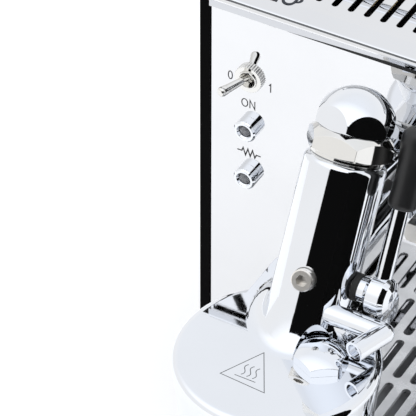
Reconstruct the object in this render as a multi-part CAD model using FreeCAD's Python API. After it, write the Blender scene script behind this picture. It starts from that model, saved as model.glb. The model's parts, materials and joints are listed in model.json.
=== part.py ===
"""Single-group heat-exchanger espresso machine, built as an assembly of separate pieces.

X runs across the machine, -Y is the front, Z is up and z = 0 is the table.
Each piece is modelled from the plane of the front panel (y = 0) and moved by
PANEL_Y when it is written, which puts the origin at the middle of the footprint.
"""
import FreeCAD, Part
import math
import os

from FreeCAD import Vector as V

# ---------------------------------------------------------------- driving dimensions (mm)
WIDTH = 250.0
SIDE_EDGE = 7.0            # width of the black side panels' folded front edge
BODY_DEPTH = 250.0         # front panel to the back of the casing
TOP_Z = 369.0              # top plate
LIP_Z = 357.0              # lower edge line of the top plate's front lip
BASE_Z = 22.0              # underside of the base, on the feet
TRAY_TOP_Z = 64.0
TRAY_FRONT_Y = -184.0
APRON_TOP_Z = 44.0         # the side panels' low walls beside the drip tray
SHEET = 1.5
FOOT_X, FOOT_Y = (-98.0, 98.0), (-160.0, 222.0)
LIP_OUT = 3.8              # stand-off of the top plate's rolled front lip
VENT_PITCH, VENT_LENGTH, VENT_WIDTH = 10.4, 38.0, 4.0
VENT_SHIFT = -1.6
VENT_ROWS = (19.5, 66.0, 112.5)

BELL_Y = -132.5            # centre line of the brewing group
BELL_R = 59.5
BELL_FOOT_R = 55.5
BELL_TOP_Z = 242.0
BELL_HEIGHT = 48.0
TILT = 26.5                # backward lean of the group's cylinder, degrees
TUBE_FOOT_Y = -96.9        # where the cylinder's axis meets the bell's top face
TUBE_R = 24.0
TUBE_TOP = 97.0            # along the cylinder's axis, from the bell's top face
SEAM_R = 12.0              # fillet where the cylinder grows out of the bell
FLARE, FLARE_TOP, FLARE_FOOT = 5.0, 12.0, -20.0   # forward swell of the cylinder's foot, along its axis
SHAFT_AT = 27.0            # lever shaft, along the same axis
CAM_R = 8.0
CAM_THROW = 2.5
CAM_REST = -130.0          # angle of the cam's high side from the axis at rest, degrees
LEVER_X = 38.8             # plane in which the lever's arm swings
COLLAR_FLATS, COLLAR_HIGH, COLLAR_CORNER = 46.0, 16.0, 31.0
CAP_FLATS, CAP_HIGH, CAP_CORNER = 41.0, 25.0, 12.0
CAP_DOME_R = 24.0
SCREW_AT, SCREW_ANGLE, SCREW_SEAT = 28.2, 5.0, 3.6
PLUG_X, PLUG_Y, PLUG_FLATS = 24.2, BELL_Y + 7.2, 27.0
PLUG_HIGH, PLUG_DOME_R = 9.6, 26.0
PORT_R = 6.2
PORT_AIM = V(-0.32, -math.sqrt(1 - 0.32 ** 2), 0.0)

HANDLE_ROOT = 30.0         # the handle's axis starts this far in front of the group's centre
HANDLE_STUB = 36.3
GRIP_LENGTH = 121.0
HANDLE_DROP = 7.0          # degrees below level
COLUMN_X = -91.7           # switch and lamps
SWITCH_Z = LIP_Z - 42.7
LAMP_Z = (LIP_Z - 79.2, LIP_Z - 115.4)
LAMP_HOLE_R = 6.0
SWITCH_HOLE_R = 6.1
SWITCH_LEAN, SWITCH_PIVOT, SWITCH_PROUD = 18.2, 2.5, 3.6
GAUGE_X, GAUGE_Z, GAUGE_R = 56.0, 322.0, 23.0
GAUGE_START = 130.0        # needle's angle from straight up at rest, degrees
VALVE_X = 98.0
VALVE_Z = {"water": 318.0, "steam": 268.0}
WAND = {"steam": (100.0, 92.0, 36.0), "water": (66.0, 118.0, 22.0)}   # x, tip z, forward lean
WAND_Z = 216.0
WAND_Y = -24.0

TANK = (-98.0, 98.0, 168.0, 230.0, 60.0, 362.0)
BOILER_Y, BOILER_Z, BOILER_R, BOILER_HALF = 88.0, 232.0, 58.0, 78.0
STUB_X = (-36.0, 0.0, 44.0)
BAND_X = (-50.0, 22.0)
INLET_X, INLET_Z = -70.0, 40.0

# ---------------------------------------------------------------- derived places
HALF = WIDTH / 2
PANEL_HALF = HALF - SIDE_EDGE
HANDLE_REACH = HANDLE_ROOT + (HANDLE_STUB + GRIP_LENGTH) * math.cos(math.radians(HANDLE_DROP))
PANEL_Y = (HANDLE_REACH - BELL_Y - BODY_DEPTH) / 2
BELL_FOOT_Z = BELL_TOP_Z - BELL_HEIGHT
NECK_Z = BELL_TOP_Z + 36.0
SCREEN_TOP_Z = BELL_FOOT_Z + 10.0
GASKET_TOP_Z = BELL_FOOT_Z + 22.1
RIM_Z = BELL_FOOT_Z + 12.0
FEET = [(x, y) for x in FOOT_X for y in FOOT_Y]
LEAN = V(0, math.sin(math.radians(TILT)), math.cos(math.radians(TILT)))
TUBE_FOOT = V(0, TUBE_FOOT_Y, BELL_TOP_Z)
SHAFT = TUBE_FOOT + LEAN * SHAFT_AT
X_AXIS, Y_AXIS, Z_AXIS = V(1, 0, 0), V(0, 1, 0), V(0, 0, 1)
FORWARD = V(0, -1, 0)

os.makedirs("parts", exist_ok=True)


# ---------------------------------------------------------------- helpers
def save(name, *pieces):
    """Write one node, moved so that the origin is at the footprint's middle."""
    shape = pieces[0] if len(pieces) == 1 else Part.makeCompound(list(pieces))
    shape = shape.copy()
    shape.translate(V(0, PANEL_Y, 0))
    shape.exportStep("parts/%s.step" % name)


def box(x0, x1, y0, y1, z0, z1):
    return Part.makeBox(x1 - x0, y1 - y0, z1 - z0, V(x0, y0, z0))


def rod(start, axis, length, radius):
    return Part.makeCylinder(radius, length, start, axis)


def ring(start, axis, length, outer, inner):
    return rod(start, axis, length, outer).cut(rod(start - axis * 1, axis, length + 2, inner))


def spin(points, start, axis):
    """Turn a closed outline of (radius, height) points about an axis through start."""
    wire = Part.makePolygon([V(r, 0, h) for r, h in points] + [V(points[0][0], 0, points[0][1])])
    solid = Part.Face(wire).revolve(V(0, 0, 0), Z_AXIS, 360)
    return place(solid, start, axis)


def turn_smooth(points, start, axis):
    """Turn a smooth outline of (radius, height) points, flat at the foot and closed at the tip."""
    curve = Part.BSplineCurve()
    curve.interpolate([V(r, 0, h) for r, h in points], PeriodicFlag=False)
    foot, tip = points[0], points[-1]
    corners = [V(tip[0], 0, tip[1]), V(0, 0, tip[1]), V(0, 0, foot[1]), V(foot[0], 0, foot[1])]
    edges = [curve.toShape()] + [Part.makeLine(a, b) for a, b in zip(corners, corners[1:])]
    solid = Part.Face(Part.Wire(edges)).revolve(V(0, 0, 0), Z_AXIS, 360)
    return place(solid, start, axis)


def place(shape, start, axis):
    """Move a shape made about +Z so that it stands on start along axis."""
    shape = shape.copy()
    shape.Placement = FreeCAD.Placement(start, FreeCAD.Rotation(Z_AXIS, axis)).multiply(shape.Placement)
    return shape


def hexagon(flats, height, corner):
    """A hexagonal prism about +Z with one corner at the given angle."""
    radius = flats / 2 / math.cos(math.radians(30))
    angles = [math.radians(corner + 60 * k) for k in range(7)]
    wire = Part.makePolygon([V(radius * math.cos(a), radius * math.sin(a), 0) for a in angles])
    return Part.Face(wire).extrude(V(0, 0, height))


def rounded(x0, x1, y0, y1, z0, z1, radius):
    """A box with its upright edges rounded."""
    solid = box(x0, x1, y0, y1, z0, z1)
    edges = [e for e in solid.Edges if abs(e.tangentAt(e.FirstParameter).z) > 0.9]
    return solid.makeFillet(radius, edges)


def slot(x, y0, y1, z0, z1, width):
    """A slot cutter that runs front to back with round ends."""
    radius = width / 2
    cutter = box(x - radius, x + radius, y0 + radius, y1 - radius, z0, z1)
    for y in (y0 + radius, y1 - radius):
        cutter = cutter.fuse(rod(V(x, y, z0), Z_AXIS, z1 - z0, radius))
    return cutter


def cut_all(shape, cutters):
    return shape.cut(Part.makeCompound(cutters))


def pipe(points, radius, bore=0.0):
    """A tube along straight runs joined by tangent arcs."""
    edges, last = [], points[0]
    for before, corner, after in zip(points, points[1:], points[2:]):
        back, ahead = (before - corner), (after - corner)
        turn = math.pi - back.getAngle(ahead)
        bend = 0.45 * min(back.Length, ahead.Length) / math.tan(turn / 2)
        reach = bend * math.tan(turn / 2)
        back.normalize()
        ahead.normalize()
        entry, leave = corner + back * reach, corner + ahead * reach
        inward = back + ahead
        inward.normalize()
        middle = corner + inward * (bend / math.cos(turn / 2) - bend)
        edges.append(Part.makeLine(last, entry))
        edges.append(Part.Arc(entry, middle, leave).toShape())
        last = leave
    edges.append(Part.makeLine(last, points[-1]))
    path = Part.Wire(edges)
    start = points[1] - points[0]
    solids = []
    for size in (radius, bore):
        if size:
            section = Part.Wire(Part.makeCircle(size, points[0], start))
            solids.append(path.makePipeShell([section], True, False))
    return solids[0].cut(solids[1]) if bore else solids[0]


def tube_point(along, angle=0.0, radius=0.0):
    """A point about the group's cylinder; angle 0 is its front, positive towards +X."""
    a = math.radians(angle)
    out = V(math.sin(a), -math.cos(a) * LEAN.z, math.cos(a) * LEAN.y)
    return TUBE_FOOT + LEAN * along + out * radius, out


# ---------------------------------------------------------------- casing
def make_base():
    """Folded bottom pan; its low side flanges guide the drip tray."""
    pan = box(-PANEL_HALF, PANEL_HALF, TRAY_FRONT_Y + 2, BODY_DEPTH - 2, BASE_Z, BASE_Z + 2)
    for side in (-1, 1):
        inner, outer = sorted((side * (PANEL_HALF - 2), side * PANEL_HALF))
        pan = pan.fuse(box(inner, outer, TRAY_FRONT_Y + 2, BODY_DEPTH - 2, BASE_Z, APRON_TOP_Z - 2))
    top = TANK[4] - 0.2
    shelf = box(-102, 102, 160, 236, top - 2, top).fuse(box(-102, 102, 158, 160, BASE_Z + 2, top))
    shelf = shelf.cut(rod(V(0, 200, 50), Z_AXIS, 12, 9)).cut(box(-90, -68, 150, 186, BASE_Z + 3, 62))
    pan = pan.fuse(shelf)
    holes = [rod(V(x, y, BASE_Z - 1), Z_AXIS, 4, 3.2) for x, y in FEET]
    save("base_frame", cut_all(pan, holes))
    feet = []
    for x, y in FEET:
        profile = [(0, 0), (15, 0), (17, 3), (14, BASE_Z), (0, BASE_Z)]
        feet.append(spin(profile, V(x, y, 0), Z_AXIS).fuse(rod(V(x, y, BASE_Z - 1), Z_AXIS, 3, 3)))
    save("feet", *feet)


def make_side(side, name):
    """A black side panel: outer sheet with the front and back edges folded inwards."""
    def across(a, b, y0, y1, z0, z1):
        low, high = sorted((side * a, side * b))
        return box(low, high, y0, y1, z0, z1)
    bottom = BASE_Z + 4
    panel = across(HALF - 2, HALF, 0, BODY_DEPTH, bottom, TOP_Z)
    panel = panel.fuse(across(PANEL_HALF + 0.2, HALF, -1.0, 1.0, APRON_TOP_Z, TOP_Z))
    panel = panel.fuse(across(PANEL_HALF + 0.2, HALF, 0, 14, APRON_TOP_Z, TOP_Z))
    panel = panel.fuse(across(PANEL_HALF + 0.2, HALF, BODY_DEPTH - 14, BODY_DEPTH, bottom, TOP_Z))
    apron = across(PANEL_HALF + 0.2, HALF, TRAY_FRONT_Y, BODY_DEPTH - 14, bottom, APRON_TOP_Z)
    panel = panel.fuse(apron.cut(across(0, HALF - 2, TRAY_FRONT_Y + 8, BODY_DEPTH, 0, APRON_TOP_Z - 2)))
    panel = panel.removeSplitter()
    front_top = [e for e in panel.Edges if abs(e.CenterOfMass.y + 1.0) < 0.01
                 and abs(e.CenterOfMass.z - TOP_Z) < 0.01]
    save(name, panel.makeFillet(3.0, front_top) if front_top else panel)


def make_front_panel():
    sheet = box(-PANEL_HALF, PANEL_HALF, 0, SHEET, TRAY_TOP_Z + 3, LIP_Z + 7)
    holes = [rod(V(COLUMN_X, -1, SWITCH_Z), Y_AXIS, 4, SWITCH_HOLE_R)]
    holes += [rod(V(COLUMN_X, -1, z), Y_AXIS, 4, LAMP_HOLE_R) for z in LAMP_Z]
    holes.append(rod(V(GAUGE_X, -1, GAUGE_Z), Y_AXIS, 4, GAUGE_R - 3))
    holes += [rod(V(VALVE_X, -1, z), Y_AXIS, 4, 8.1) for z in VALVE_Z.values()]
    holes += [rod(V(data[0], -1, WAND_Z), Y_AXIS, 4, 6.1) for data in WAND.values()]
    holes.append(rod(V(0, -1, NECK_Z), Y_AXIS, 4, 18))
    holes += [rod(V(x, -1, NECK_Z + z), Y_AXIS, 4, 4.2) for x in (-25, 25) for z in (-25, 25)]
    save("front_panel", cut_all(sheet, holes))


def make_top_cover():
    """Top plate with a rolled front lip, cup-warmer vents and the tank's opening."""
    lip = LIP_OUT
    bend = 3.6
    crown = TOP_Z - 1
    points = [V(0, -lip, LIP_Z + 2.5), V(0, -lip, crown - bend)]
    arc_mid = V(0, -lip + bend * (1 - math.cos(math.pi / 4)), crown - bend * (1 - math.sin(math.pi / 4)))
    rest = [V(0, bend - lip, crown), V(0, 10, TOP_Z), V(0, BODY_DEPTH - 2, TOP_Z),
            V(0, BODY_DEPTH - 2, TOP_Z - SHEET), V(0, 10, TOP_Z - SHEET), V(0, 1, crown - SHEET),
            V(0, -lip + SHEET, crown - bend), V(0, -lip + SHEET, LIP_Z + 2.5), points[0]]
    edges = [Part.makeLine(points[0], points[1]), Part.Arc(points[1], arc_mid, rest[0]).toShape()]
    edges += [Part.makeLine(a, b) for a, b in zip(rest, rest[1:])]
    half = PANEL_HALF - 0.8
    plate = Part.Face(Part.Wire(edges)).extrude(V(2 * half, 0, 0))
    plate.translate(V(-half, 0, 0))
    cutters = [rounded(TANK[0] - 3, TANK[1] + 3, TANK[2] - 3, TANK[3] + 3, TOP_Z - 6, TOP_Z + 2, 6)]
    for y0 in VENT_ROWS:
        for k in range(12):
            x = VENT_PITCH * (k - 5.5) + VENT_SHIFT
            cutters.append(slot(x, y0, y0 + VENT_LENGTH, TOP_Z - 6, TOP_Z + 2, VENT_WIDTH))
    save("top_cover", cut_all(plate, cutters))


def make_rear_panel():
    y0 = BODY_DEPTH - 2
    half = PANEL_HALF - 0.2
    sheet = box(-half, half, y0, y0 + SHEET, BASE_Z + 4, TOP_Z - 2)
    cutters = [box(INLET_X - 14, INLET_X + 14, y0 - 1, y0 + 3, INLET_Z - 10.5, INLET_Z + 10.5)]
    for row in range(2):
        for k in range(15):
            x = 11.0 * (k - 7)
            z = 250 + 50 * row
            cutters.append(box(x - 2, x + 2, y0 - 1, y0 + 3, z, z + 36))
    screws = []
    for x in (-110, 110):
        for z in (50, 200, 350):
            cutters.append(rod(V(x, y0 - 1, z), Y_AXIS, 4, 1.9))
            head = rod(V(x, y0 + SHEET, z), Y_AXIS, 0.45, 4)
            screws.append(head.fuse(rod(V(x, y0 - 6, z), Y_AXIS, 6 + SHEET, 1.8)))
    save("rear_panel", cut_all(sheet, cutters))
    save("casing_screws", *screws)


def make_inlet():
    """Mains inlet: a moulded shell open to the back, with three blades inside."""
    y1 = BODY_DEPTH - 0.7
    shell = box(INLET_X - 13.8, INLET_X + 13.8, y1 - 24, y1, INLET_Z - 10.3, INLET_Z + 10.3)
    shell = shell.cut(box(INLET_X - 11.8, INLET_X + 11.8, y1 - 19, y1 + 1, INLET_Z - 8.2, INLET_Z + 8.2))
    blades = []
    for dx, dz in ((-7, -2), (0, 2), (7, -2)):
        x, z = INLET_X + dx, INLET_Z + dz
        blades.append(box(x - 1, x + 1, y1 - 26, y1 - 6, z - 2, z + 2))
    save("mains_inlet", cut_all(shell, [b.copy() for b in blades]), *blades)


def make_cup_rail():
    """Round-bar guard rail on posts round the cup warmer."""
    half, y0, y1, z, bend = 108.0, 62.0, 243.0, TOP_Z + 24, 14.0
    corners = [(-half, y0), (half, y0), (half, y1), (-half, y1)]
    edges = []
    for k, (x, y) in enumerate(corners):
        px, py = corners[k - 1]
        nx, ny = corners[(k + 1) % 4]
        into = V(math.copysign(1, px - x) if px != x else 0, math.copysign(1, py - y) if py != y else 0, 0)
        out = V(math.copysign(1, nx - x) if nx != x else 0, math.copysign(1, ny - y) if ny != y else 0, 0)
        corner = V(x, y, z)
        inside = corner + (into + out) * bend
        middle = inside - (into + out) * (bend / math.sqrt(2))
        edges.append((corner + into * bend, middle, corner + out * bend))
    wires = []
    for k, (entry, middle, leave) in enumerate(edges):
        wires.append(Part.Arc(entry, middle, leave).toShape())
        wires.append(Part.makeLine(leave, edges[(k + 1) % 4][0]))
    path = Part.Wire(wires)
    section = Part.Wire(Part.makeCircle(3.0, edges[0][0], V(0, 1, 0)))
    rail = path.makePipeShell([section], True, False)
    for x in (-half, half):
        for y in (y0 + 16, (y0 + y1) / 2, y1 - 18):
            rail = rail.fuse(rod(V(x, y, TOP_Z), Z_AXIS, 24, 2.5)).fuse(rod(V(x, y, TOP_Z), Z_AXIS, 3, 5))
    save("cup_rail", rail)


# ---------------------------------------------------------------- controls
def make_switch():
    """Toggle switch: body and threaded bush, knurled dress nut, ball-ended lever."""
    centre = V(COLUMN_X, 0, SWITCH_Z)
    body = box(COLUMN_X - 9, COLUMN_X + 9, 6, 30, SWITCH_Z - 14, SWITCH_Z + 14)
    bush = rod(centre + V(0, 6.1, 0), FORWARD, 6.1 + SWITCH_PROUD, 5.9)
    pivot = centre + V(0, SWITCH_PIVOT, 0)
    mouth = Part.makeCone(2.95, 5.2, SWITCH_PIVOT + SWITCH_PROUD + 0.1, pivot, FORWARD)
    body = body.fuse(bush).cut(mouth).cut(Part.makeSphere(3.1, pivot)).cut(rod(pivot, Y_AXIS, 9, 2.6))
    for dx in (-5, 5):
        body = body.fuse(box(COLUMN_X + dx - 1, COLUMN_X + dx + 1, 30, 38, SWITCH_Z - 3, SWITCH_Z + 3))
    save("toggle_switch", body)
    nut = ring(centre, FORWARD, 2.8, 9.0, 5.95)
    knurls = []
    for k in range(36):
        a = 2 * math.pi * k / 36
        foot = centre + V(9.3 * math.cos(a), 0.5, 9.3 * math.sin(a))
        knurls.append(rod(foot, FORWARD, 4, 0.65))
    save("toggle_nut", cut_all(nut, knurls))
    lean = math.radians(SWITCH_LEAN)
    along = V(-math.sin(lean), -math.cos(lean), 0)
    profile = [(1.9, 0), (2.1, 6), (2.35, 13), (2.8, 20), (3.05, 23), (2.7, 25), (1.7, 25.8)]
    lever = turn_smooth(profile, pivot, along).fuse(Part.makeSphere(2.8, pivot))
    save("toggle_lever", lever)


def make_lamps():
    """Chrome pilot-lamp bezels with small domed lenses set back in them."""
    bezel = [(5.9, -12), (5.9, 0), (7.3, 0), (7.3, 5.8), (6.3, 6.9), (4.9, 6.9), (3.9, 5.6), (3.9, -12)]
    lens = [(0, -10), (3.85, -10), (3.85, 4.9), (3.2, 5.9), (1.7, 6.5), (0, 6.7)]
    places = [V(COLUMN_X, 0, z) for z in LAMP_Z]
    save("lamp_bezels", *[spin(bezel, centre, FORWARD) for centre in places])
    save("lamp_lenses", *[spin(lens, centre, FORWARD) for centre in places])


def make_gauge():
    """Boiler pressure gauge: cup with bezel, dial, needle and glass."""
    centre = V(GAUGE_X, 0, GAUGE_Z)
    inner = GAUGE_R - 4
    outline = [(0, -26), (inner + 0.9, -26), (inner + 0.9, 0), (GAUGE_R, 0), (GAUGE_R, 4), (GAUGE_R - 2, 6),
               (inner - 1, 6), (inner - 1, 5), (inner - 0.4, 5), (inner - 0.4, -24), (0, -24)]
    save("gauge_case", spin(outline, centre, FORWARD))
    dial = rod(centre + V(0, 1, 0), FORWARD, 1.0, inner - 0.5)
    pin_hole = rod(centre + V(0, 2, 0), FORWARD, 3, 1.06)
    save("gauge_dial", dial.cut(pin_hole))
    blade = Part.makePolygon([V(-1.0, 0, -4), V(1.0, 0, -4), V(0.35, 0, 14), V(-0.35, 0, 14), V(-1.0, 0, -4)])
    needle = Part.Face(blade).extrude(V(0, -0.6, 0)).fuse(rod(V(0, 0, 0), FORWARD, 1.4, 2.2))
    needle = needle.fuse(rod(V(0, 4, 0), FORWARD, 4.2, 1.0))
    needle.rotate(V(0, 0, 0), Y_AXIS, -GAUGE_START)
    needle.translate(centre + V(0, -0.5, 0))
    save("gauge_needle", needle)
    save("gauge_glass", rod(centre + V(0, -3.2, 0), FORWARD, 1.7, inner - 0.5))


def make_valve(name):
    """Rotary valve: body through the panel, and a fluted knob on its stem."""
    z = VALVE_Z[name]
    face = V(VALVE_X, 0, z)
    body = rod(face + V(0, 34, 0), FORWARD, 34, 8.0)
    body = body.fuse(spin([(0, 0), (13, 0), (13, 2), (10, 6), (7.5, 7), (7.5, 15), (0, 15)], face, FORWARD))
    body = body.fuse(place(hexagon(20, 8, 0), face + V(0, 12, 0), FORWARD))
    body = body.cut(rod(face + V(0, 16, 0), FORWARD, 32, 4.05))
    body = body.fuse(rod(V(VALVE_X, 26, z), Z_AXIS * (1 if name == "water" else -1), 16, 6))
    save(name + "_valve", body)
    grip = spin([(0, 18), (14, 18), (18, 22), (19, 30), (18, 40), (14, 43), (0, 44.5)], face, FORWARD)
    flutes = []
    for k in range(8):
        a = 2 * math.pi * k / 8
        flutes.append(rod(face + V(21.5 * math.cos(a), -16, 21.5 * math.sin(a)), FORWARD, 30, 5))
    knob = cut_all(grip, flutes).fuse(rod(face + V(0, 15.8, 0), FORWARD, 34, 4.0))
    save(name + "_knob", knob)


def make_wand(name):
    """Swivelling outlet tube with its ball and tip; returns its fixed socket and nut."""
    x, tip_z, lean = WAND[name]
    ball = V(x, WAND_Y, WAND_Z)
    socket = rod(V(x, 16, WAND_Z), FORWARD, 16 + 14, 6.0).fuse(rod(V(x, 0, WAND_Z), FORWARD, 3, 11))
    socket = socket.fuse(rod(V(x, -12, WAND_Z), FORWARD, -WAND_Y - 12, 8))
    shell = rod(ball + V(0, 0, 12), Z_AXIS * -1, 20, 11)
    socket = socket.fuse(shell)
    socket = socket.cut(Part.makeSphere(8.05, ball)).cut(rod(ball, Z_AXIS * -1, 20, 8.05))
    ends = [ball, V(x, WAND_Y, WAND_Z - 34), V(x, WAND_Y - lean, tip_z + 34), V(x, WAND_Y - lean, tip_z + 10)]
    tube = pipe(ends, 4.5, 3.0)
    head = Part.makeSphere(8.0, ball).fuse(rod(ball, Z_AXIS * -1, 12, 6.5)).cut(rod(ball, Z_AXIS * -1, 20, 3.0))
    start = ends[-1]
    tip = spin([(0, -12), (2.5, -12), (6, -5), (6.2, 4), (5, 6), (4.55, 6), (4.55, 0), (0, 0)], start, Z_AXIS)
    tip = tip.cut(rod(start + V(0, 0, -14), Z_AXIS, 16, 1.2))
    save(name + "_wand", tube.fuse(head).fuse(tip))
    return socket, ring(V(x, WAND_Y, WAND_Z - 12), Z_AXIS, 3.8, 12.5, 8.1)


# ---------------------------------------------------------------- brewing group
def bell_outline():
    """Half section of the chrome bell, inside and out, from its top face downwards."""
    wall = 4.0
    top, foot = 0.0, -BELL_HEIGHT
    soft = 5.0
    outer = [V(0, 0, top), V(BELL_R - soft, 0, top)]
    corner = V(BELL_R - soft * (1 - math.sin(math.pi / 4)), 0, -soft * (1 - math.cos(math.pi / 4)))
    edges = [Part.makeLine(outer[0], outer[1]), Part.Arc(outer[1], corner, V(BELL_R, 0, -soft)).toShape()]
    line = [V(BELL_R, 0, -soft), V(BELL_FOOT_R, 0, foot), V(BELL_FOOT_R - wall, 0, foot),
            V(BELL_R - wall - 1, 0, -12), V(48, 0, -8), V(0, 0, -8), V(0, 0, 0)]
    edges += [Part.makeLine(a, b) for a, b in zip(line, line[1:])]
    return Part.Face(Part.Wire(edges))


def make_group_body():
    """Chromed casting: bell, leaning cylinder, neck and flange, bayonet ring."""
    bell = bell_outline().revolve(V(0, 0, 0), Z_AXIS, 360)
    bell.translate(V(0, BELL_Y, BELL_TOP_Z))
    tube = flared_foot().fuse(rod(TUBE_FOOT + LEAN * FLARE_TOP, LEAN, TUBE_TOP - FLARE_TOP, TUBE_R))
    saddle = rounded(-40, 40, BELL_Y + 22, -48, BELL_TOP_Z - 7.5, BELL_TOP_Z, 16)
    below = box(-60, 60, BELL_Y - 80, 60, BELL_TOP_Z - 60, BELL_TOP_Z - 7)
    casting = bell.fuse(saddle).removeSplitter().fuse(tube.removeSplitter().cut(below))
    casting = soften(casting)
    neck = rod(V(0, -76, NECK_Z), Y_AXIS, 68, 21)
    casting = casting.fuse(neck).fuse(rounded_plate(35, 8))
    core = V(0, BELL_Y, BELL_TOP_Z - 7)
    casting = casting.fuse(rod(core, Z_AXIS * -1, BELL_TOP_Z - 7 - GASKET_TOP_Z, 43))
    casting = casting.fuse(rod(core, Z_AXIS * -1, BELL_TOP_Z - 7 - SCREEN_TOP_Z, 27))
    bayonet = ring(core, Z_AXIS * -1, BELL_TOP_Z - 7 - BELL_FOOT_Z, 45, 41)
    casting = casting.fuse(bayonet)
    for side in (0, 180):
        lug = Part.makeCylinder(43, 5, V(0, BELL_Y, BELL_FOOT_Z), Z_AXIS, 44)
        lug = lug.cut(rod(V(0, BELL_Y, BELL_FOOT_Z - 1), Z_AXIS, 8, 37.4))
        lug.rotate(V(0, BELL_Y, 0), Z_AXIS, side - 22)
        casting = casting.fuse(lug)
    cutters = [rod(TUBE_FOOT + LEAN * 14, LEAN, 24, 12.5), rod(TUBE_FOOT + LEAN * 36, LEAN, 62, 10.05),
               rod(SHAFT, X_AXIS, 40, 6.05)]
    where, out = tube_point(SCREW_AT, SCREW_ANGLE, TUBE_R - SCREW_SEAT)
    cutters += [rod(where - out * 9, out, 12, 4.02), rod(where, out, 6, 6.8)]
    cutters.append(rod(V(PLUG_X, PLUG_Y, BELL_TOP_Z - 6), Z_AXIS, 8, 8.02))
    cutters.append(rod(V(PLUG_X, PLUG_Y, BELL_TOP_Z), Z_AXIS, 14, PLUG_FLATS / 2 + 2.4))
    cutters += [rod(V(x, -20, NECK_Z + z), Y_AXIS, 22, 4.1) for x in (-25, 25) for z in (-25, 25)]
    cutters.append(rod(V(0, -60, NECK_Z), Y_AXIS, 70, 6))
    casting = cut_all(casting, cutters)
    save("group_body", casting)
    return casting


def flared_foot():
    """Foot of the cylinder, which swells forwards as it goes down into the bell."""
    front = tube_point(0, 0, 1)[1]
    steps, rings = 6, []
    for k in range(steps + 1):
        along = FLARE_TOP + (FLARE_FOOT - FLARE_TOP) * k / steps
        swell = FLARE * (k / steps) ** 2
        centre = TUBE_FOOT + LEAN * along + front * (0.8 * swell)
        rings.append(Part.Wire(Part.makeCircle(TUBE_R + swell, centre, LEAN)))
    return Part.makeLoft(rings, True, False)


def rounded_plate(half, thick):
    plate = box(-half, half, -thick, 0, NECK_Z - half, NECK_Z + half)
    edges = [e for e in plate.Edges if abs(e.tangentAt(e.FirstParameter).y) > 0.9]
    return plate.makeFillet(8, edges)


def soften(casting):
    """Fillet the seam of the cylinder with the bell, and the cylinder's shoulder."""
    shoulder = TUBE_FOOT + LEAN * TUBE_TOP
    seam, rim = [], []
    for edge in casting.Edges:
        middle = edge.valueAt((edge.FirstParameter + edge.LastParameter) / 2)
        if (middle - shoulder).Length < TUBE_R + 0.5 and abs((middle - shoulder).dot(LEAN)) < 0.1:
            rim.append(edge)
        elif abs(middle.z - BELL_TOP_Z) < 0.01 and (middle - TUBE_FOOT).Length < TUBE_R * 1.55:
            seam.append(edge)
    for radius, edges in ((4.5, rim), (SEAM_R, seam)):
        centres = [e.CenterOfMass for e in edges]
        again = [e for e in casting.Edges if any((e.CenterOfMass - c).Length < 0.05 for c in centres)]
        casting = casting.makeFillet(radius, again)
    return casting


def make_group_trim(casting):
    """Nuts, plug, screw and side port that close the group's passages."""
    foot = TUBE_FOOT + LEAN * TUBE_TOP
    bound = spin([(0, 0), (21, 0), (21.6, 0.6), (21.6, 2.2), (23.4, 3.0), (27, 4.6), (27, 10.0),
                  (21.0, COLLAR_HIGH), (0, COLLAR_HIGH)], foot, LEAN)
    collar = turned_hexagon(COLLAR_FLATS, COLLAR_HIGH, COLLAR_CORNER, foot).common(bound)
    collar = collar.fuse(rod(foot - LEAN * 10, LEAN, 12, 9.9))
    save("group_collar_nut", collar.cut(rod(foot + LEAN * 6, LEAN, 12, 6.0)))
    foot = foot + LEAN * COLLAR_HIGH
    dome = Part.makeSphere(CAP_DOME_R, foot + LEAN * (CAP_HIGH - CAP_DOME_R))
    chamfer = spin([(0, 0), (20.4, 0), (24, 2.2), (24, 30), (0, 30)], foot, LEAN)
    cap = turned_hexagon(CAP_FLATS, 30, CAP_CORNER, foot).common(chamfer).common(dome)
    save("group_cap_nut", cap.fuse(rod(foot - LEAN * 8, LEAN, 9, 5.95)))
    base = V(PLUG_X, PLUG_Y, BELL_TOP_Z)
    dome = Part.makeSphere(PLUG_DOME_R, base + V(0, 0, PLUG_HIGH - PLUG_DOME_R))
    plug = place(hexagon(PLUG_FLATS, 12, -85), base, Z_AXIS).common(dome)
    save("group_plug", plug.fuse(rod(base + V(0, 0, -5), Z_AXIS, 6, 7.98)))
    where, out = tube_point(SCREW_AT, SCREW_ANGLE, TUBE_R - SCREW_SEAT)
    head = spin([(0, 0), (6.5, 0), (6.5, 7.8), (5.8, 8.6), (0, 8.6)], where, out)
    head = head.cut(place(hexagon(6, 5, 0), where + out * 4.4, out))
    save("group_screw", head.fuse(rod(where - out * 8, out, 8.5, 3.98)))
    end = V(44.0, BELL_Y + 7.6, BELL_TOP_Z + 15)
    elbow = end - PORT_AIM * 23
    port = rod(elbow, PORT_AIM, 23, PORT_R).fuse(Part.makeSphere(PORT_R, elbow))
    port = port.fuse(rod(V(16, elbow.y, elbow.z), X_AXIS, elbow.x - 16, PORT_R))
    port = port.cut(rod(end - PORT_AIM * 5, PORT_AIM, 8, 4.4)).cut(casting)
    save("group_side_port", max(port.Solids, key=lambda solid: solid.Volume))


def turned_hexagon(flats, height, corner, foot):
    """A hexagon about the leaning axis with a corner at an angle from its front."""
    _, out = tube_point(0, corner, 0)
    prism = place(hexagon(flats, height, 0), V(0, 0, 0), LEAN)
    now = FreeCAD.Rotation(Z_AXIS, LEAN).multVec(V(1, 0, 0))
    angle = math.degrees(now.getAngle(out))
    if now.cross(out).dot(LEAN) < 0:
        angle = -angle
    prism.rotate(V(0, 0, 0), LEAN, angle)
    prism.translate(foot)
    return prism


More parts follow.
